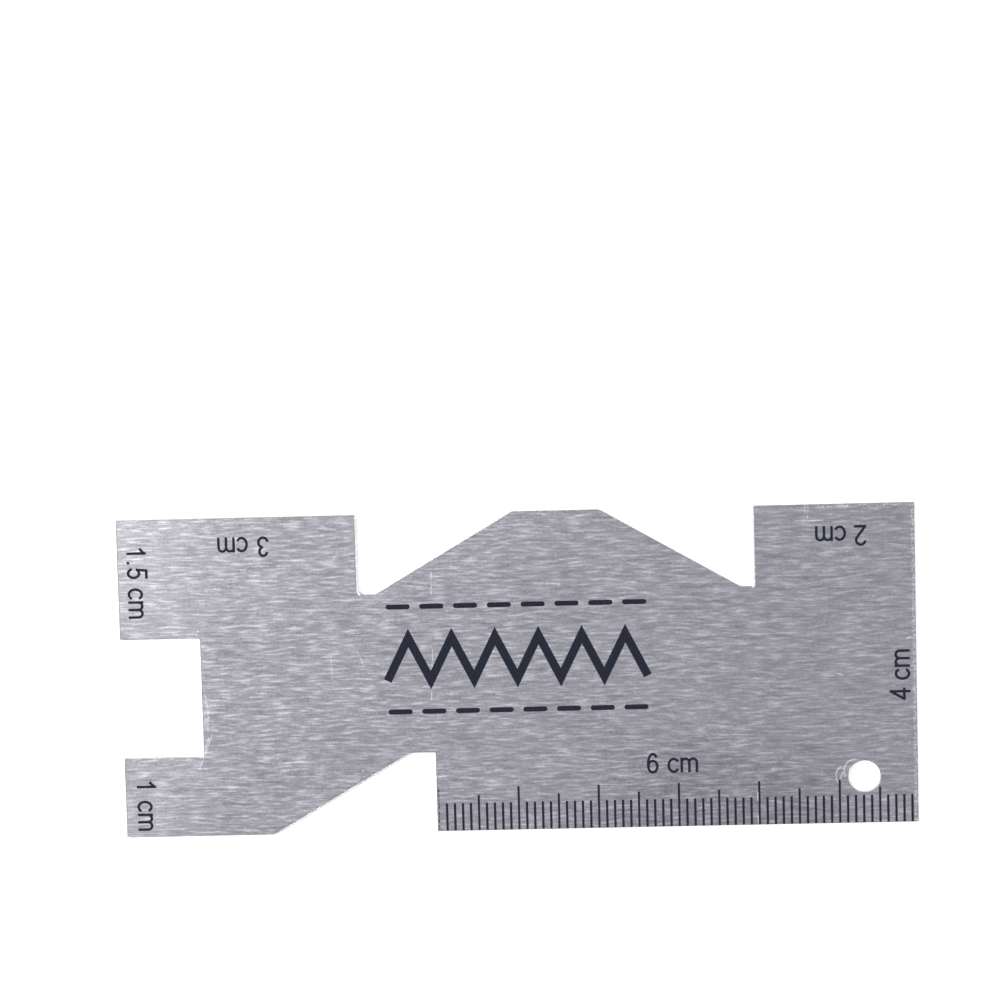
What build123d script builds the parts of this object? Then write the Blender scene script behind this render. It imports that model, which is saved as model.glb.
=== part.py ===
from build123d import *
import math
import os

# The gauge lies with its bare back face down at Z 0 and its printed face up.
# It is drawn in millimetres from the lower left corner, X along the ruler edge and Y across to
# the edge with the two slopes, and moved to the middle of its outline before it is written.

# Blank: one punched sheet
gauge_width = 40.0
plate_thickness = 1.0

# Lengths that the gauge measures out along its edges
one_cm_tab = 10.0
one_and_half_cm_tab = 15.0
two_cm_tab = 20.0
three_cm_tab = 30.0
ruler_length = 60.0

# Notch in the end, between the one and the one and a half centimetre tabs
notch_depth = 10.0

# Three slanted cuts, each with a short flat floor beside its upright wall. The two in the upper
# edge leave a flat peak between them.
slope_depth = 10.0
slope_angle = 30.0
peak_length = 10.86
left_floor = 1.9
right_floor = 1.6
lower_floor = 2.9

# Corners and edges left by the punch: the sheet rolls over at its back face, and its outer
# corners are sharp
roll_radius = 0.3
punch_corner_radius = 0.1
notch_corner_radius = 0.2
left_corner_radius = 0.65
right_corner_radius = 0.25
slope_end_radius = 1.2

# Hanging hole
hole_diameter = 4.0
hole_from_end = 6.65
hole_from_ruler = 5.85

# Screen print: a film of ink on the printed face
ink_thickness = 0.03

# Ruler lines, printed a little past the start of the ruler edge
scale_pitch = 1.0
lines_per_half_centimetre = 5
lines_per_centimetre = 10
scale_shift = 0.25
line_foot = 0.04
millimetre_line_top = 3.5
half_centimetre_line_top = 4.5
centimetre_line_top = 5.5
millimetre_line_width = 0.29
long_line_width = 0.27
zero_line_width = 0.13

# Lettering: figures and small letters of one even stroke. The round signs reach under the foot
# line by the overshoot.
letter_stroke = 0.32
figure_width = 1.45
figure_height = 2.56
small_width = 1.57
small_height = 1.9
overshoot = 0.04
arch_spacing = 0.94
figure_step = 1.75
point_step = 0.85
space_step = 0.8
c_step = 1.62
point_inset = 0.07

# Strokes of the figures and of the small c, as shares of the box that their middle lines fill.
# A bar has its two ends. A bow has the centre and the radii of its ellipse, then the angle where
# it starts and the angle that it turns, anticlockwise.
figure_shares = {
    "1": {"bars": [((0.565, 0), (0.565, 0.95)), ((0.13, 0.695), (0.545, 0.89))]},
    "2": {
        "bars": [((0.09, 0.04), (0.944, 0.61)), ((0.05, 0), (1.1, 0))],
        "bows": [((0.52, 0.745), (0.5, 0.255), -32, 206)],
    },
    "3": {"bows": [((0.45, 0.767), (0.41, 0.233), -90, 262), ((0.45, 0.267), (0.5, 0.267), -173, 263)]},
    "4": {"bars": [((0.86, 0), (0.86, 1)), ((0.02, 0.27), (1.12, 0.27)), ((0.04, 0.3), (0.82, 0.97))]},
    "5": {
        "bars": [((0.2, 1), (0.92, 1)), ((0.06, 0.5), (0.17, 0.98))],
        "bows": [((0.46, 0.3), (0.49, 0.3), -165, 313)],
    },
    "6": {"bows": [((0.5, 0.31), (0.5, 0.31), 0, 360), ((0.52, 0.5), (0.52, 0.5), 38, 167)]},
}
c_shares = {"bows": [((0.5, 0.5), (0.5, 0.5), 33, 294)]}

# Each label's distance from the edge that it measures
six_cm_baseline = 6.8
four_cm_baseline = 0.83
one_and_half_cm_baseline = 1.22
one_cm_baseline = 1.43
three_cm_baseline = 2.42
two_cm_baseline = 2.73

# Where the middle of each label falls along the edge that it measures
six_cm_middle_share = 0.492
four_cm_middle_share = 0.4625
one_and_half_cm_middle_share = 0.524
one_cm_middle_share = 0.6
three_cm_middle_share = 0.474
two_cm_middle_share = 0.455

# Stitch ornament in the middle of the printed face
ornament_across_share = 0.5
ornament_up_share = 0.545
zigzag_stitch_count = 12
zigzag_stitch_length = 2.7
zigzag_stitch_width = 5.35
zigzag_stroke = 1.05
running_stitch_count = 8
running_stitch_length = 3.0
running_stitch_gap = 1.2
running_stitch_stroke = 0.62
running_stitch_offset = 6.6

# Worked out from the sizes above
notch_top = gauge_width - one_and_half_cm_tab
slope_run = slope_depth / math.tan(math.radians(slope_angle))
slope_floor_y = gauge_width - slope_depth
left_slope_foot = three_cm_tab + left_floor
left_slope_top = left_slope_foot + slope_run
right_slope_top = left_slope_top + peak_length
right_slope_foot = right_slope_top + slope_run
right_wall_x = right_slope_foot + right_floor
gauge_length = right_wall_x + two_cm_tab
step_x = gauge_length - ruler_length
lower_slope_foot = step_x - lower_floor
lower_slope_start = lower_slope_foot - slope_run
m_step = 2 * arch_spacing + letter_stroke


def rounded(outline, corners, radius):
    """Round the named corners of a flat outline to one radius."""
    picked = [
        min(outline.vertices(), key=lambda vertex: abs(vertex.center() - Vector(*corner)))
        for corner in corners
    ]
    return fillet(picked, radius)


def plate_outline():
    """The flat shape of the gauge, anticlockwise from its lower left corner."""
    lower_slope = [(lower_slope_start, 0), (lower_slope_foot, slope_depth)]
    right_slope = [(right_slope_foot, slope_floor_y), (right_slope_top, gauge_width)]
    left_slope = [(left_slope_top, gauge_width), (left_slope_foot, slope_floor_y)]
    ruler_edge = [(step_x, 0), (gauge_length, 0)]
    two_cm_edge = [(gauge_length, gauge_width), (right_wall_x, gauge_width)]
    three_cm_edge = [(three_cm_tab, gauge_width), (0, gauge_width)]
    lower_corner = (step_x, slope_depth)
    right_corner = (right_wall_x, slope_floor_y)
    left_corner = (three_cm_tab, slope_floor_y)
    notch_corner = (notch_depth, notch_top)
    notch_sharp_corner = (notch_depth, one_cm_tab)
    notch_mouth = [(0, notch_top), (0, one_cm_tab)]

    points = [(0, 0), *lower_slope, lower_corner, *ruler_edge, *two_cm_edge, right_corner]
    points += [*right_slope, *left_slope, left_corner, *three_cm_edge]
    points += [notch_mouth[0], notch_corner, notch_sharp_corner, notch_mouth[1]]
    outline = make_face(Polyline(*points, close=True))

    outline = rounded(outline, [*lower_slope, *right_slope, *left_slope], slope_end_radius)
    outline = rounded(outline, [lower_corner, notch_sharp_corner], punch_corner_radius)
    outline = rounded(outline, [notch_corner], notch_corner_radius)
    outline = rounded(outline, [right_corner], right_corner_radius)
    return rounded(outline, [left_corner], left_corner_radius)


def gauge_plate():
    """The punched sheet with its hanging hole, its edges rolled over at the back face."""
    hole = Pos(gauge_length - hole_from_end, hole_from_ruler) * Circle(hole_diameter / 2)
    plate = extrude(plate_outline() - hole, plate_thickness)
    back_edges = plate.faces().sort_by(Axis.Z)[0].edges()
    return fillet(back_edges, roll_radius)


def printed(shapes):
    """Lay flat shapes on the printed face as separate films of ink."""
    return [extrude(Pos(0, 0, plate_thickness) * shape, ink_thickness) for shape in shapes]


def scale_line(number, top, width):
    """The ruler line of this number, counted from the start of the ruler edge."""
    middle = step_x + scale_shift + number * scale_pitch
    height = top - line_foot
    return Pos(middle, line_foot + height / 2) * Rectangle(width, height)


def scale_numbers():
    """Numbers of the ruler lines between the two ends of the ruler edge."""
    return range(1, round(ruler_length / scale_pitch))


def centimetre_lines():
    numbers = [n for n in scale_numbers() if n % lines_per_centimetre == 0]
    return printed(scale_line(n, centimetre_line_top, long_line_width) for n in numbers)


def half_centimetre_lines():
    fives = [n for n in scale_numbers() if n % lines_per_half_centimetre == 0]
    numbers = [n for n in fives if n % lines_per_centimetre != 0]
    return printed(scale_line(n, half_centimetre_line_top, long_line_width) for n in numbers)


def millimetre_lines():
    numbers = [n for n in scale_numbers() if n % lines_per_half_centimetre != 0]
    return printed(scale_line(n, millimetre_line_top, millimetre_line_width) for n in numbers)


def zero_line():
    """The first line, which the step in the edge leaves narrower than the rest."""
    return printed([scale_line(0, centimetre_line_top, zero_line_width)])


def on_grid(point_shares, width, height):
    """A point of a glyph, in shares of the box that the middle lines of its strokes fill."""
    across, up = point_shares
    half = letter_stroke / 2
    return (half + across * (width - letter_stroke), half + up * (height - letter_stroke))


def bar(start_shares, end_shares, width, height):
    """A straight stroke with square ends, half a stroke longer than its two points."""
    start = Vector(*on_grid(start_shares, width, height))
    end = Vector(*on_grid(end_shares, width, height))
    overlap = (end - start).normalized() * (letter_stroke / 2)
    return trace(Line(start - overlap, end + overlap), letter_stroke)


def bow(centre_shares, radius_shares, start_angle, turn, width, height):
    """A round stroke along an arc of an ellipse, anticlockwise."""
    across, up = radius_shares
    middle_line = EllipticalCenterArc(
        on_grid(centre_shares, width, height),
        across * (width - letter_stroke),
        up * (height - letter_stroke),
        start_angle,
        arc_size=turn,
    )
    return trace(middle_line, letter_stroke)


def drawn_glyph(stroke_shares, width, height):
    """A figure or letter joined from its bars and bows."""
    strokes = [bar(*ends, width, height) for ends in stroke_shares.get("bars", [])]
    strokes += [bow(*arc, width, height) for arc in stroke_shares.get("bows", [])]
    return strokes[0] + strokes[1:]


def letter_m():
    """Three stems under two half-round arches."""
    half = letter_stroke / 2
    shape = Pos(half, small_height / 2) * Rectangle(letter_stroke, small_height)
    arch_radius = arch_spacing / 2
    spring_height = small_height - half - arch_radius
    for left in [half, half + arch_spacing]:
        right = left + arch_spacing
        arch = CenterArc((left + arch_radius, spring_height), arch_radius, 0, 180)
        stem = Line((right, 0), (right, spring_height))
        shape += trace([arch, stem], letter_stroke)
    return shape


def full_point():
    half = letter_stroke / 2
    return Pos(point_inset + half, half) * Rectangle(letter_stroke, letter_stroke)


def glyph(sign):
    """One figure, letter or point, with its lower left corner at the origin."""
    if sign == "m":
        return letter_m()
    if sign == ".":
        return full_point()
    if sign == "1":
        return drawn_glyph(figure_shares[sign], figure_width, figure_height)
    stroke_shares, width, height = figure_shares.get(sign), figure_width, figure_height
    if sign == "c":
        stroke_shares, width, height = c_shares, small_width, small_height
    return Pos(0, -overshoot) * drawn_glyph(stroke_shares, width, height + overshoot)


def label(text, middle, turn):
    """A line of lettering centred on a point of its baseline, its foot turned by an angle."""
    steps = {" ": space_step, ".": point_step, "c": c_step, "m": m_step}
    shapes = []
    reach = 0
    for sign in text:
        if sign != " ":
            shapes.append(Pos(reach, 0) * glyph(sign))
        reach += steps.get(sign, figure_step)
    place = Pos(*middle) * Rot(0, 0, turn) * Pos(-reach / 2, 0)
    return printed(place * shape for shape in shapes)


def label_6_cm():
    return label("6 cm", (step_x + six_cm_middle_share * ruler_length, six_cm_baseline), 0)


def label_4_cm():
    middle = (gauge_length - four_cm_baseline, four_cm_middle_share * gauge_width)
    return label("4 cm", middle, 90)


def label_1_5_cm():
    up = gauge_width - one_and_half_cm_middle_share * one_and_half_cm_tab
    return label("1.5 cm", (one_and_half_cm_baseline, up), -90)


def label_1_cm():
    up = one_cm_tab - one_cm_middle_share * one_cm_tab
    return label("1 cm", (one_cm_baseline, up), -90)


def label_3_cm():
    across = three_cm_tab - three_cm_middle_share * three_cm_tab
    return label("3 cm", (across, gauge_width - three_cm_baseline), 180)


def label_2_cm():
    across = gauge_length - two_cm_middle_share * two_cm_tab
    return label("2 cm", (across, gauge_width - two_cm_baseline), 180)


def ornament_place(up):
    """A point on the ornament's upright middle line, this far above its centre."""
    centre_x = gauge_length * ornament_across_share
    return Pos(centre_x, gauge_width * ornament_up_share + up)


def zigzag_stitch():
    """One unbroken zigzag line of even stitches."""
    start = -zigzag_stitch_count * zigzag_stitch_length / 2
    swing = zigzag_stitch_width / 2
    points = [
        (start + number * zigzag_stitch_length, swing if number % 2 else -swing)
        for number in range(zigzag_stitch_count + 1)
    ]
    return printed([ornament_place(0) * trace(Polyline(*points), zigzag_stroke)])


def running_stitches(up):
    """A row of round-ended stitches, centred on the ornament."""
    stitch = SlotOverall(running_stitch_length, running_stitch_stroke)
    pitch = running_stitch_length + running_stitch_gap
    first = -(running_stitch_count - 1) * pitch / 2
    places = [first + number * pitch for number in range(running_stitch_count)]
    return printed(ornament_place(up) * Pos(place, 0) * stitch for place in places)


def running_stitch_upper():
    return running_stitches(running_stitch_offset)


def running_stitch_lower():
    return running_stitches(-running_stitch_offset)


def write_node(name, solids):
    """Move a node's solids to the middle of the outline and write them to one file."""
    to_middle = Pos(-gauge_length / 2, -gauge_width / 2)
    shape = Compound([to_middle * solid for solid in solids])
    export_step(shape, f"parts/{name}.step")


os.makedirs("parts", exist_ok=True)
write_node("gauge_plate", gauge_plate().solids())
for node in [
    zero_line,
    millimetre_lines,
    half_centimetre_lines,
    centimetre_lines,
    label_1_cm,
    label_1_5_cm,
    label_2_cm,
    label_3_cm,
    label_4_cm,
    label_6_cm,
    zigzag_stitch,
    running_stitch_upper,
    running_stitch_lower,
]:
    write_node(node.__name__, [solid for part in node() for solid in part.solids()])
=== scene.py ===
import math
import bpy
import numpy as np
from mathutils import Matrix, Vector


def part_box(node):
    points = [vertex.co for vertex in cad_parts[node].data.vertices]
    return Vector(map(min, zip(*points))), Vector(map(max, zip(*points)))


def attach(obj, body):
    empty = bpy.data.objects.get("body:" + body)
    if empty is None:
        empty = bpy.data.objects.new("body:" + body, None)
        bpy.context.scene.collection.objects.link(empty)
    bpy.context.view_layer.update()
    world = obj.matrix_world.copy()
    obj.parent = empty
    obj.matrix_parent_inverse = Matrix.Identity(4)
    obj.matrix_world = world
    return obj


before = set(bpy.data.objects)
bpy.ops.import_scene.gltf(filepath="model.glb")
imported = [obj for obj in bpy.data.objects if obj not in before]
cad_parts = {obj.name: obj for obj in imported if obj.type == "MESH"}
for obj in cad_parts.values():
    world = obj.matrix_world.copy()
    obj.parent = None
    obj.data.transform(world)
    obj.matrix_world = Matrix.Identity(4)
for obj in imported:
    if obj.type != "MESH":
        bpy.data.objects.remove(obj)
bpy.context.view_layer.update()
plateLow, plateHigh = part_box("gauge_plate")
mm = 0.001
thickness = (plateHigh.z - plateLow.z) / mm      # of the plate, in millimetres
print("frame loaded,", len(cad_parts), "nodes")


class Field:
    # A node's output socket. Maths on it adds Math nodes, so a formula reads as it is written.
    def __init__(self, tree, socket=None):
        self.tree, self.socket = tree, socket

    def make(self, kind, settings=None, inputs=None, output=0):
        # Adds a node, sets its settings, then fills or links its inputs
        node = self.tree.nodes.new(kind)
        for name, value in (settings or {}).items():
            setattr(node, name, value)
        for name, value in (inputs or {}).items():
            if isinstance(value, Field):
                self.tree.links.new(value.socket, node.inputs[name])
            else:
                node.inputs[name].default_value = value
        return Field(self.tree, node.outputs[output])

    def maths(self, operation, *values):
        return self.make("ShaderNodeMath", {"operation": operation}, dict(enumerate(values)))

    def __add__(self, other):
        return self.maths("ADD", self, other)

    def __radd__(self, other):
        return self.maths("ADD", other, self)

    def __sub__(self, other):
        return self.maths("SUBTRACT", self, other)

    def __rsub__(self, other):
        return self.maths("SUBTRACT", other, self)

    def __mul__(self, other):
        return self.maths("MULTIPLY", self, other)

    def __rmul__(self, other):
        return self.maths("MULTIPLY", other, self)

    def __truediv__(self, other):
        return self.maths("DIVIDE", self, other)

    def __abs__(self):
        return self.maths("ABSOLUTE", self)

    def root(self):
        return self.maths("SQRT", self)

    def larger(self, other):
        return self.maths("MAXIMUM", self, other)

    def smaller(self, other):
        return self.maths("MINIMUM", self, other)

    def step(self, low, high):
        # 0 below low, 1 above high, smooth between; low above high turns it round
        settings = {"interpolation_type": "SMOOTHSTEP"}
        return self.make("ShaderNodeMapRange", settings, {"Value": self, "From Min": low, "From Max": high})

    def axes(self):
        node = self.make("ShaderNodeSeparateXYZ", inputs={0: self}).socket.node
        return [Field(self.tree, socket) for socket in node.outputs]

    def tint(self, dark, light):
        # Colour from dark at 0 to light at 1
        inputs = {0: self, 6: (*dark, 1), 7: (*light, 1)}
        return self.make("ShaderNodeMix", {"data_type": "RGBA"}, inputs, output=2)


def noise(x, y, z, detail=2.0):
    # Noise about 0.5, one grain to each unit of the three fields. A bare number for z picks one
    # pattern out of many.
    place = x.make("ShaderNodeCombineXYZ", inputs={0: x, 1: y, 2: z})
    inputs = {"Vector": place, "Scale": 1.0, "Detail": detail, "Roughness": 0.5}
    return x.make("ShaderNodeTexNoise", inputs=inputs)


def swing(pattern, amount):
    # A pattern about 0.5 as a change of tone about 0
    return (pattern - 0.5) * amount


def bump(height, depth):
    inputs = {"Height": height, "Distance": depth * mm, "Strength": 1.0}
    return height.make("ShaderNodeBump", inputs=inputs)


def newMaterial(name, constants):
    # A Principled material with constants on its own sockets, and its place on the gauge in
    # millimetres, to build the rest from
    material = bpy.data.materials.new(name)
    material.use_nodes = True
    tree = material.node_tree
    shader = tree.nodes["Principled BSDF"]
    for socket, value in constants.items():
        shader.inputs[socket].default_value = value
    place = Field(tree).make("ShaderNodeTexCoord", output="Object")
    scaled = place.make("ShaderNodeVectorMath", {"operation": "SCALE"}, {0: place, "Scale": 1 / mm})
    return material, shader, scaled.axes()


def feed(node, fields):
    for name, field in fields.items():
        field.tree.links.new(field.socket, node.inputs[name])


# Here and in the next four dictionaries, lengths are in millimetres, places are measured from the
# middle of the gauge, and tones run from 0 for dark to 1 for light. What goes to step() is a pair:
# where the step starts and where it is complete.
metal = {
    "dark": (0.152, 0.149, 0.178), "light": (0.90, 0.895, 0.945),
    "roughness": 0.33, "roughnessSwing": 0.1, "bumpDepth": 0.006,
    "faceStart": 0.07, "faceFull": 0.01,            # depths below a face where its pattern fades in
    "backTone": 0.45, "grainLength": 0.7, "grainWidth": 0.16, "grainSwing": 0.55,
    "clumpShares": (4, 2), "clumpSwing": 0.35, "backCloudSwing": 0.15,      # shares of the grain's size
    # The cut walls get a dark base tone, which is painted shade
    "shadedWallTone": 0.28, "shearWidth": 0.12, "shearHeight": 1.5, "shearSwing": 0.4,
    "highlightedWalls": (-19.5, 29.5),                   # places along X of two sides of the upper cut, whose walls and lips get a painted highlight
    "wallDepth": (0.1, 0.03), "wallStart": (9.0, 10.0), "wallHighlight": 0.42,
}

brushing = {
    "tone": 0.32, "length": 2.2, "width": 0.30,
    "waveLength": 11, "waveWidth": 7, "waveHeight": 0.6,
    "cloudLength": 8, "cloudWidth": 5, "cloudSwing": 0.12,
    "contrast": 0.4, "cloudContrast": 1.2, "contrastLost": 0.004,       # lost for each millimetre along X
    "shortShare": 0.16, "broadShare": 2.2, "flashShares": (0.7, 0.8),   # of the streaks' size
    "fineSwing": 0.25, "shortSwing": 0.3, "broadSwing": 0.3, "fineDepth": 0.6, "broadDepth": 0.4,
    "dash": (0.46, 0.78), "dashLight": 0.27, "flash": (0.6, 0.85), "flashLight": 0.17,
    # Painted highlight toward the notch end, and painted shade over the far half of the ruler
    "notchEnd": (-35.0, -46.0), "notchEndHighlight": 0.09,
    "rulerSide": (-5.0, -17.0), "rulerStart": (2.0, 20.0), "rulerEnd": (48.0, 30.0), "rulerShade": 0.10,
}

marks = {
    # Two ends, width, strength
    "scratches": [
        ((-38.4, -7.2), (-40.1, -11.5), 0.13, 0.9),
        ((-38.8, -7.6), (-39.5, -9.3), 0.12, 0.8),
        ((-39.1, -2.2), (-38.8, -4.2), 0.16, 0.6),
        ((-38.8, -4.2), (-38.9, -6.7), 0.12, 0.7),
        ((-39.2, -4.2), (-39.2, -6.4), 0.30, 0.45),
        ((-23.2, 2.3), (-23.1, -0.7), 0.10, 0.5),
        ((-19.9, 2.9), (-19.2, 1.3), 0.10, 0.7),
        ((-19.2, 1.25), (-17.2, 1.3), 0.10, 0.7),
        ((-10.4, 13.2), (-10.5, 9.8), 0.10, 0.7),
        ((-10.5, 3.0), (-10.8, -3.4), 0.11, 0.8),
        ((2.5, 11.0), (5.4, 10.85), 0.16, 0.6),
        ((36.0, 19.8), (36.0, 18.8), 0.09, 0.7),
        ((36.4, 19.7), (36.3, 18.3), 0.10, 0.9),
        ((34.7, 18.0), (38.2, 18.0), 0.12, 0.7),
        ((39.6, -1.1), (40.3, -1.35), 0.14, 0.9),
        ((48.4, 3.1), (48.8, 3.2), 0.16, 1.0),
        ((29.67, -13.9), (29.67, -14.3), 0.10, 0.5),
        ((29.54, -15.9), (29.55, -16.9), 0.14, 1.3),
        ((29.55, -18.8), (29.57, -19.9), 0.14, 1.1),
        ((37.6, -13.4), (37.5, -14.0), 0.10, 0.5),
    ],
    "backScratches": [
        ((45.3, -13.5), (49.2, -12.2), 0.13, 0.35),
        ((16.5, -15.2), (20.5, -13.4), 0.10, 0.2),
    ],
    # Rings worn beside the hanging hole: centre, radius, width, and in degrees the bearing of the
    # middle of the arc and half of its sweep
    "rings": [
        ((41.74, -13.4), 1.43, 0.13, 145, 72),
        ((41.35, -14.53), 1.49, 0.12, 158, 30),
        ((40.76, -14.05), 1.45, 0.13, 163, 48),
    ],
    # Middle and radius
    "nicks": [
        ((-39.7, 5.9), 0.16), ((-39.9, 5.5), 0.12), ((-39.6, 6.9), 0.10), ((44.3, 8.4), 0.12),
        ((-32.1, -11.4), 0.10), ((-19.6, -12.1), 0.16), ((-19.5, -12.9), 0.14), ((39.55, -14.85), 0.16),
        ((40.2, -15.05), 0.16), ((-38.7, -4.95), 0.14), ((48.5, -10.0), 0.12),
    ],
    "ringStrength": 0.9,
    # Shares of the width, the sweep and the radius that have the full strength
    "lineCore": 0.2, "sweepCore": 0.75, "nickCore": 0.3,
    "gapSize": 0.5, "gaps": (0.25, 0.6),
    "light": 0.55, "depth": 0.8,
}

bruises = {
    "endEdge": (48.9, 49.2),
    "tabEdge": (19.5, 19.65), "tabStart": (36.5, 38.0),
    "notchLine": -10.3, "notchWidth": (0.2, 0.1), "notchReach": (-39.5, -39.8), "notchStrength": 0.6,
    "fleckSize": 0.3, "dense": (0.42, 0.6), "sparse": (0.5, 0.6), "light": 0.4,
    "speckLength": 0.22, "speckWidth": 0.18, "speck": (0.79, 0.84), "speckLight": 0.4,
}


def scratchMask(x, y, start, end, width, strength):
    # Strongest on the segment: distance to the nearest point between its ends
    (ax, ay), (bx, by) = start, end
    dx, dy = bx - ax, by - ay
    along = ((x - ax) * dx + (y - ay) * dy) / (dx * dx + dy * dy)
    along = along.larger(0.0).smaller(1.0)
    sideX, sideY = x - ax - along * dx, y - ay - along * dy
    return (sideX * sideX + sideY * sideY).root().step(width, marks["lineCore"] * width) * strength


def ringMask(x, y, centre, radius, width, bearing, sweep):
    # Strongest on a circle of that radius, within the sweep to each side of the bearing
    dx, dy = x - centre[0], y - centre[1]
    distance = (dx * dx + dy * dy).root()
    turn, half = math.radians(bearing), math.radians(sweep)
    cosine = (dx * math.cos(turn) + dy * math.sin(turn)) / distance.larger(0.01)    # never by 0
    inSweep = cosine.step(math.cos(half), math.cos(marks["sweepCore"] * half))
    return abs(distance - radius).step(width, marks["lineCore"] * width) * inSweep


def nickMask(x, y, centre, radius):
    dx, dy = x - centre[0], y - centre[1]
    return (dx * dx + dy * dy).root().step(radius, marks["nickCore"] * radius)


def wornMask(x, y):
    # Scratches with gaps in them, then the rings and nicks
    scratched = [scratchMask(x, y, *scratch) for scratch in marks["scratches"]]
    worn = scratched[0]
    for scratch in scratched[1:]:
        worn = worn.larger(scratch)
    worn = worn * noise(x / marks["gapSize"], y / marks["gapSize"], 31.0).step(*marks["gaps"])
    for ring in marks["rings"]:
        worn = worn.larger(ringMask(x, y, *ring) * marks["ringStrength"])
    for nick in marks["nicks"]:
        worn = worn.larger(nickMask(x, y, *nick))
    return worn


def bruiseMask(x, y):
    # Strips in flecks: before the end edge, by the far edge of the 2 cm tab and under the notch
    fleck = noise(x / bruises["fleckSize"], y / bruises["fleckSize"], 41.0)
    dense, sparse = fleck.step(*bruises["dense"]), fleck.step(*bruises["sparse"])
    atEnd = x.step(*bruises["endEdge"]) * dense
    onTab = y.step(*bruises["tabEdge"]) * x.step(*bruises["tabStart"]) * sparse
    underNotch = abs(y - bruises["notchLine"]).step(*bruises["notchWidth"])
    underNotch = underNotch * x.step(*bruises["notchReach"]) * sparse * bruises["notchStrength"]
    return atEnd.larger(onTab).larger(underNotch)


def speckMask(x, y):
    specks = noise(x / bruises["speckLength"], y / bruises["speckWidth"], 51.0, 0.0)
    return specks.step(*bruises["speck"])


def printedFace(x, y, cloud):
    # Sparse bright dashes along the brushing over a soft mottle, fainter in places. The face has a painted
    # highlight toward the end with the notch and painted shade over the far half of the ruler. With the
    # tone come the fine and the broad streaks.
    wave = noise(x / brushing["waveLength"], y / brushing["waveWidth"], 3.0, 1.0)
    level = y + swing(wave, brushing["waveHeight"])
    long, wide = brushing["length"], brushing["width"]
    broader, (flashLong, flashWide) = brushing["broadShare"], brushing["flashShares"]
    fine = noise(x / long, level / wide, 1.0, 1.0)
    short = noise(x / (brushing["shortShare"] * long), level / wide, 7.0, 1.0)
    broad = noise(x / (broader * long), level / (broader * wide), 5.0)
    flash = noise(x / (flashLong * long), level / (flashWide * wide), 9.0, 0.0).step(*brushing["flash"])
    dashes = fine.step(*brushing["dash"]) * brushing["dashLight"] + swing(fine, brushing["fineSwing"])
    dashes = dashes + swing(short, brushing["shortSwing"]) + flash * brushing["flashLight"]
    contrast = brushing["contrast"] + cloud * brushing["cloudContrast"] - x * brushing["contrastLost"]
    tone = brushing["tone"] + dashes * contrast
    tone = tone + swing(broad, brushing["broadSwing"]) + swing(cloud, brushing["cloudSwing"])
    # Painted highlight toward the notch end, then painted shade over the far half of the ruler
    tone = tone + x.step(*brushing["notchEnd"]) * brushing["notchEndHighlight"]
    overRuler = y.step(*brushing["rulerSide"]) * x.step(*brushing["rulerStart"])
    tone = tone - overRuler * x.step(*brushing["rulerEnd"]) * brushing["rulerShade"]
    return tone, fine, broad


def bareBack(x, y, cloud):
    # Finer and shorter grain than on the printed face, and scratches of its own
    long, wide = metal["grainLength"], metal["grainWidth"]
    clumpLong, clumpWide = metal["clumpShares"]
    grain = noise(x / long, y / wide, 21.0, 1.0)
    clumps = noise(x / (clumpLong * long), y / (clumpWide * wide), 25.0, 1.0)
    tone = metal["backTone"] + swing(grain, metal["grainSwing"]) + swing(cloud, metal["backCloudSwing"])
    tone = tone + swing(clumps, metal["clumpSwing"])
    for scratch in marks["backScratches"]:
        tone = tone + scratchMask(x, y, *scratch)
    return tone


def cutEdges(x, y, z):
    # Upright shear marks on walls painted darker than the face as painted shade, with a painted highlight
    # on two sides of the upper cut
    wide = metal["shearWidth"]
    shear = noise(x / wide, y / wide, z / metal["shearHeight"])
    # The dark base tone of the walls is painted shade
    tone = metal["shadedWallTone"] + swing(shear, metal["shearSwing"])
    for place in metal["highlightedWalls"]:
        # Painted highlight on the wall at this place
        onWall = abs(x - place).step(*metal["wallDepth"]) * y.step(*metal["wallStart"])
        tone = tone + onWall * metal["wallHighlight"]
    return tone


def brushedAluminium():
    constants = {"Metallic": 1.0, "IOR": 1.45}
    material, shader, (x, y, z) = newMaterial("brushed_aluminium", constants)
    onPrinted = z.step(thickness - metal["faceStart"], thickness - metal["faceFull"])
    onBack = z.step(metal["faceStart"], metal["faceFull"])
    onEdges = 1 - onPrinted - onBack

    cloud = noise(x / brushing["cloudLength"], y / brushing["cloudWidth"], 11.0)
    streaks, fine, broad = printedFace(x, y, cloud)
    grain, shear, worn = bareBack(x, y, cloud), cutEdges(x, y, z), wornMask(x, y)
    damage = worn * marks["light"] + bruiseMask(x, y) * bruises["light"]
    damage = damage + speckMask(x, y) * bruises["speckLight"]
    relief = fine * brushing["fineDepth"] + broad * brushing["broadDepth"] - worn * marks["depth"]

    tone = (streaks + damage) * onPrinted + grain * onBack + shear * onEdges
    height = relief * onPrinted + grain * onBack + shear * onEdges
    feed(shader, {
        "Base Color": tone.tint(metal["dark"], metal["light"]),
        "Roughness": metal["roughness"] + swing(broad, metal["roughnessSwing"]),
        "Normal": bump(height, metal["bumpDepth"]),
    })
    return material


ink = {
    "colour": (0.009, 0.0115, 0.023), "worn": (0.03, 0.033, 0.046),
    "roughness": 0.5, "roughnessSwing": 0.2, "bumpDepth": 0.004,
    "mottleLength": 0.3, "mottleWidth": 0.12, "mottle": (0.45, 0.85),
    # On the zero line
    "fleckLength": 0.25, "fleckWidth": 0.35, "rubbedThrough": (0.55, 0.45), "rubbedAlpha": 0.8,
}


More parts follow.
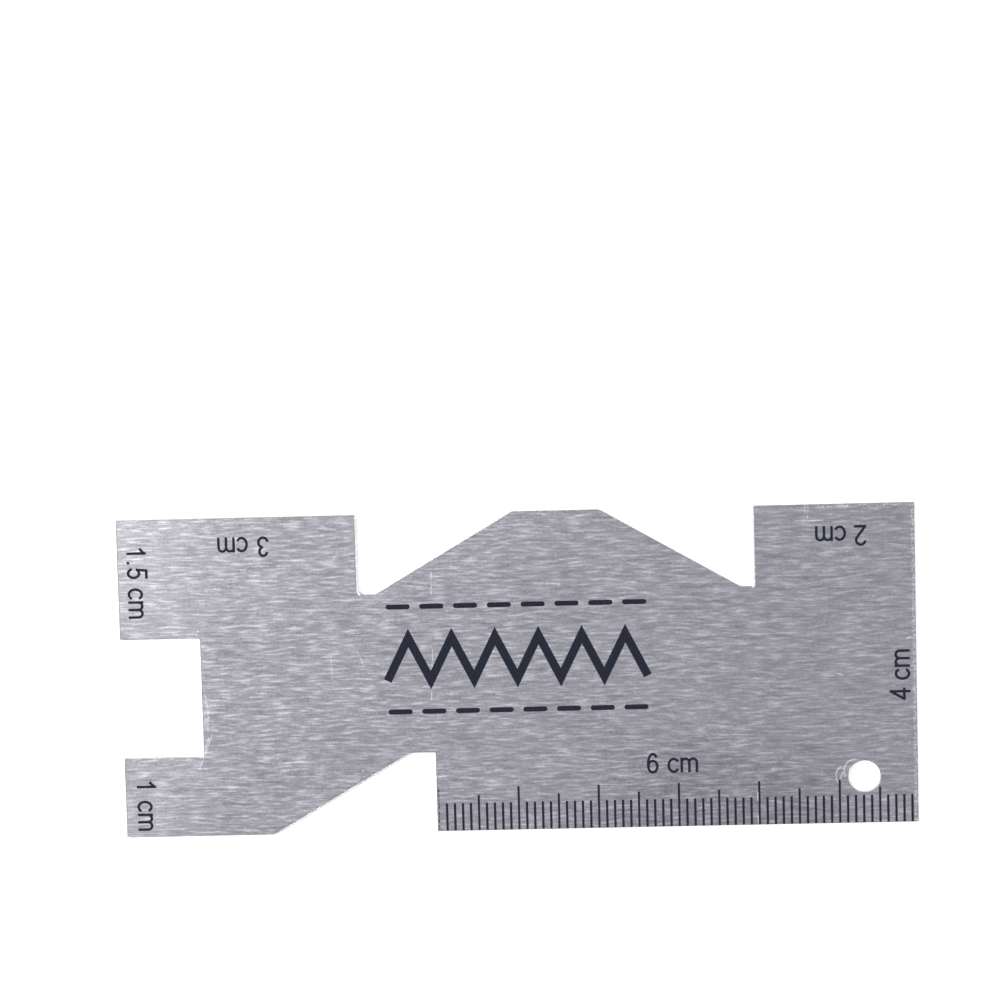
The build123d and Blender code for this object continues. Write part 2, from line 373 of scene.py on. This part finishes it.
def printInk(name, rubbed=False):
    # Dark ink with a faint mottle. Rubbed ink is broken up into flecks.
    material, shader, (x, y, _) = newMaterial(name, {"Specular IOR Level": 0.1})
    mottle = noise(x / ink["mottleLength"], y / ink["mottleWidth"], 2.0)
    feed(shader, {
        "Base Color": mottle.step(*ink["mottle"]).tint(ink["colour"], ink["worn"]),
        "Roughness": ink["roughness"] + swing(mottle, ink["roughnessSwing"]),
        "Normal": bump(mottle, ink["bumpDepth"]),
    })
    if rubbed:
        flecks = noise(x / ink["fleckLength"], y / ink["fleckWidth"], 7.0)
        feed(shader, {"Alpha": flecks.step(*ink["rubbedThrough"]) * ink["rubbedAlpha"]})
    return material


def dress(node, material):
    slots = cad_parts[node].data.materials
    slots.clear()
    slots.append(material)


dress("gauge_plate", brushedAluminium())
darkInk = printInk("screen_ink")
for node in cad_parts:
    if node != "gauge_plate":
        dress(node, darkInk)
dress("zero_line", printInk("rubbed_ink", rubbed=True))
print("materials set")


burr = {
    "width": 0.12 * mm, "height": 0.022 * mm, "spacing": 0.16 * mm,
    "across": [0.03, 0.12, 0.6, 1.0, 0.5],          # profile inwards, in shares of the width
    "rise": [-0.1, 0.6, 1.0, -0.1, -0.3],           # and upwards, in shares of the height
    "uneven": 0.7, "seed": 4,
    "cornerTurn": 0.5, "cornerOverlap": 0.01 * mm, "faceSlack": 0.01 * mm,      # the turn in radians
    # Stretches where the lip is wider and carries a painted highlight, in millimetres: two ends, width,
    # share of the painted highlight
    "highlightSides": [
        *(((side, 20.0), (side, 10.0), 0.34, 0.85) for side in metal["highlightedWalls"]),
        ((-30.6, -19.9), (-14.2, -10.45), 0.19, 0.42),
    ],
    # For the material, in millimetres again
    "dotSize": 0.45, "dots": (0.5, 0.7), "dotLight": 0.22, "dotRoughness": 0.1, "roughness": 0.3,
    # Under the painted highlight the tone rises toward the light colour and the lip is made less metallic,
    # down to the least value
    "tone": 0.34, "light": (0.94, 0.93, 0.93), "sideHighlight": 0.8, "leastMetallic": 0.1,
}


def printedOutline():
    # Closed loops round the printed face, with the metal on their left: the edges of its upward
    # triangles that no second triangle shares
    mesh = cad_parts["gauge_plate"].data
    places, numbers = np.empty(3 * len(mesh.vertices)), np.empty(len(mesh.loops), int)
    mesh.vertices.foreach_get("co", places)
    mesh.loops.foreach_get("vertex_index", numbers)
    corners = places.reshape(-1, 3)[numbers].reshape(-1, 3, 3)
    top = np.all(corners[:, :, 2] > plateHigh.z - burr["faceSlack"], axis=1)
    points, index = np.unique(corners[top].reshape(-1, 3).round(8), axis=0, return_inverse=True)
    index = index.reshape(-1, 3)
    starts, ends = index.ravel(), np.roll(index, -1, axis=1).ravel()
    single = ~np.isin(starts * len(points) + ends, ends * len(points) + starts)
    following = dict(zip(starts[single].tolist(), ends[single].tolist()))
    loops = []
    while following:
        loop = [min(following)]
        while loop[-1] in following:
            loop.append(following.pop(loop[-1]))
        loops.append(points[loop[:-1]])
    return loops


def closer(loop, spacing):
    # The loop with points added, so that none of its sides is longer than the spacing
    runs = []
    for start, end in zip(loop, np.roll(loop, -1, axis=0)):
        count = math.ceil(np.linalg.norm(end - start) / spacing)
        runs.append(start + (end - start) * np.arange(count)[:, None] / count)
    return np.vstack(runs)


def unit(rows):
    return rows / np.linalg.norm(rows, axis=1, keepdims=True)


def roomToCorner(line, ahead, behind):
    # How far each point lies from the nearest sharp corner, either way along the closed line, and a
    # metre where it has no corner
    run = np.cumsum(np.linalg.norm(line - np.roll(line, 1, axis=0), axis=1))
    turns = np.arccos(np.clip((ahead * behind).sum(axis=1), -1, 1)) > burr["cornerTurn"]
    gap = abs(run[:, None] - run[turns][None])
    return np.minimum(gap, run[-1] - gap).min(axis=1, initial=1.0)


def awayFrom(points, start, end):
    # How far points lie from the stretch between two ends, seen from above
    start, way = np.array(start) * mm, (np.array(end) - start) * mm
    along = np.clip((points[..., :2] - start) @ way / (way @ way), 0, 1)
    return np.linalg.norm(points[..., :2] - start - along[..., None] * way, axis=-1)


def lipRing(line, random):
    # A point at s along the outline and t round the profile is
    # outline(s) + inward(s) * across(t) * width(s) + up * rise(t) * height * wobble(s).
    # The lip is never wider than the way to the next corner. With the points come their shares of the
    # painted highlight.
    across, rise = np.array(burr["across"]), np.array(burr["rise"])
    ahead, behind = unit(np.roll(line, -1, axis=0) - line), unit(line - np.roll(line, 1, axis=0))
    along = unit(ahead + behind)
    inward = np.stack([-along[:, 1], along[:, 0], 0 * along[:, 0]], axis=1)
    rough = random.random(len(line))
    rough = 0.5 * rough + 0.25 * (np.roll(rough, 1) + np.roll(rough, -1))   # eased into its neighbours
    wobble = 1 - burr["uneven"] * rough
    width = np.full(len(line), burr["width"])
    for start, end, wide, _ in burr["highlightSides"]:
        width[awayFrom(line, start, end) < wide * mm] = wide * mm
    width = np.minimum(width, roomToCorner(line, ahead, behind) + burr["cornerOverlap"])
    grid = line[:, None] + inward[:, None] * across[:, None] * width[:, None, None]
    grid[:, :, 2] += rise * burr["height"] * wobble[:, None]
    highlightShare = np.zeros(grid.shape[:2])
    # Share of the painted highlight, fading away from each stretch
    for start, end, wide, light in burr["highlightSides"]:
        highlightShare = np.maximum(highlightShare, light * (1 - awayFrom(grid, start, end) / (wide * mm)))
    return grid, highlightShare


def ringFaces(rows, columns):
    # Quads of a grid that closes on itself both ways, facing outwards
    s, t = np.meshgrid(np.arange(rows), np.arange(columns), indexing="ij")
    nextS, nextT = (s + 1) % rows, (t + 1) % columns
    corners = [(s, t), (nextS, t), (nextS, nextT), (s, nextT)]
    return np.stack([row * columns + column for row, column in corners], -1).reshape(-1, 4)


def edgeBurr():
    # The raised lip that the punch leaves: one ring along each loop of the printed outline
    random = np.random.default_rng(burr["seed"])
    vertices, faces, shares, count = [], [], [], 0
    for loop in printedOutline():
        grid, highlightShare = lipRing(closer(loop, burr["spacing"]), random)
        vertices.append(grid.reshape(-1, 3))
        faces.append(ringFaces(*highlightShare.shape) + count)
        shares.append(highlightShare.ravel())
        count += highlightShare.size
    mesh = bpy.data.meshes.new("edge_burr")
    mesh.from_pydata(np.vstack(vertices).tolist(), [], np.vstack(faces).tolist())
    # Each point's share of the painted highlight goes into an attribute
    mesh.attributes.new("highlightShare", "FLOAT", "POINT").data.foreach_set("value", np.concatenate(shares))
    mesh.shade_smooth()
    piece = bpy.data.objects.new("edge_burr", mesh)
    bpy.context.scene.collection.objects.link(piece)
    return piece


def burrMetal():
    # As bright as the face with dots of light, and with a painted highlight, whiter and less metallic,
    # where the attribute that holds the highlight's share is high
    material, shader, (x, y, _) = newMaterial("burr_metal", {"IOR": 1.45})
    highlightShare = x.make("ShaderNodeAttribute", {"attribute_name": "highlightShare"}, output="Fac")
    dots = noise(x / burr["dotSize"], y / burr["dotSize"], 3.0, 1.0).step(*burr["dots"])
    tone = burr["tone"] + dots * burr["dotLight"] + highlightShare * burr["sideHighlight"]
    feed(shader, {
        "Base Color": tone.smaller(1.0).tint(metal["dark"], burr["light"]),
        "Metallic": (1 - highlightShare).larger(burr["leastMetallic"]),
        "Roughness": burr["roughness"] + dots * burr["dotRoughness"],
    })
    return material


lip = edgeBurr()
lip.data.materials.append(burrMetal())
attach(lip, "root")
print("burr made,", len(lip.data.vertices), "vertices")


# From here on, sizes and places are in metres
paper = {"size": 3.0, "gap": 0.02 * mm, "colour": (0.86, 0.86, 0.86), "glow": 0.48, "roughness": 0.9}


def whiteFloor():
    half = paper["size"] / 2
    corners = [(-half, -half), (half, -half), (half, half), (-half, half)]
    mesh = bpy.data.meshes.new("floor")
    mesh.from_pydata([(x, y, plateLow.z - paper["gap"]) for x, y in corners], [], [(0, 1, 2, 3)])
    floor = bpy.data.objects.new("floor", mesh)
    bpy.context.scene.collection.objects.link(floor)
    material, shader, (x, _, _) = newMaterial("floor_paper", {
        "Base Color": (*paper["colour"], 1), "Roughness": paper["roughness"],
        "Specular IOR Level": 0.1, "Emission Strength": paper["glow"],
    })
    # It glows for the camera and in reflections, and casts no light of its own
    seen = x.make("ShaderNodeLightPath", output="Is Camera Ray")
    glossy = x.make("ShaderNodeLightPath", output="Is Glossy Ray")
    clear = x.make("ShaderNodeLightPath", output="Is Transmission Ray")
    feed(shader, {"Emission Color": seen.larger(glossy).larger(clear).tint((0, 0, 0), (1, 1, 1))})
    # Clear from below, so that the bare back can be seen
    under = x.make("ShaderNodeNewGeometry", output="Backfacing")
    nothing = x.make("ShaderNodeBsdfTransparent")
    paperShader = Field(x.tree, shader.outputs[0])
    mix = x.make("ShaderNodeMixShader", inputs={0: under, 1: paperShader, 2: nothing})
    feed(material.node_tree.nodes["Material Output"], {"Surface": mix})
    mesh.materials.append(material)


lamps = {
    "key": {"size": 0.45, "place": (-0.5, 0.26, 0.85), "power": 9.0, "colour": (1.0, 0.975, 0.93)},
    "fill": {"size": 0.6, "place": (0.7, 0.5, 0.6), "power": 1.5, "colour": (0.95, 0.98, 1.0)},
}


def softbox(name, size, place, power, colour):
    # A square lamp that points at the middle of the gauge
    data = bpy.data.lights.new(name, "AREA")
    data.shape, data.size, data.energy, data.color = "SQUARE", size, power, colour
    lamp = bpy.data.objects.new(name, data)
    lamp.location = place
    lamp.rotation_euler = Vector(-np.array(place)).to_track_quat("-Z", "Y").to_euler()
    bpy.context.scene.collection.objects.link(lamp)


sky = {
    "zenith": 0.55, "horizon": 0.85, "rise": (0.2, 1.0), "colour": (0.975, 0.968, 1.03),
    "leanX": 0.15, "leanY": -0.3,                   # brighter to the right, darker on the far side
}


def paleWorld():
    # White where the camera sees past the floor. For light it is a little darker overhead and on
    # the far side, and faintly blue.
    world = bpy.data.worlds.new("pale_world")
    bpy.context.scene.world = world
    world.use_nodes = True
    tree = world.node_tree
    x, y, z = Field(tree).make("ShaderNodeTexCoord", output="Generated").axes()
    strength = sky["horizon"] + (sky["zenith"] - sky["horizon"]) * z.step(*sky["rise"])
    strength = strength + x * sky["leanX"] + y * sky["leanY"]
    seen = x.make("ShaderNodeLightPath", output="Is Camera Ray")
    feed(tree.nodes["Background"], {
        "Color": seen.tint(sky["colour"], (1, 1, 1)),
        "Strength": seen + (1 - seen) * strength,
    })


# The camera stands 0.4 m over the gauge, a little past its far edge, as in the photograph
lens = {
    "place": (0.010868, 0.060712, 0.400), "turn": (-5.662, 1.641, -1.516),
    "sensor": 36.0, "focal": 3.2403,                # in millimetres, and in sensor widths
    "near": 0.01, "far": 10.0,
}


def photographersCamera():
    data = bpy.data.cameras.new("camera")
    data.sensor_width = lens["sensor"]
    data.lens = lens["focal"] * lens["sensor"]
    data.clip_start, data.clip_end = lens["near"], lens["far"]
    camera = bpy.data.objects.new("camera", data)
    camera.location = lens["place"]
    camera.rotation_euler = [math.radians(angle) for angle in lens["turn"]]
    bpy.context.scene.collection.objects.link(camera)
    bpy.context.scene.camera = camera


whiteFloor()
for name, lamp in lamps.items():
    softbox(name, **lamp)
paleWorld()
photographersCamera()
bpy.context.scene.view_settings.view_transform = "Standard"
print("studio ready")
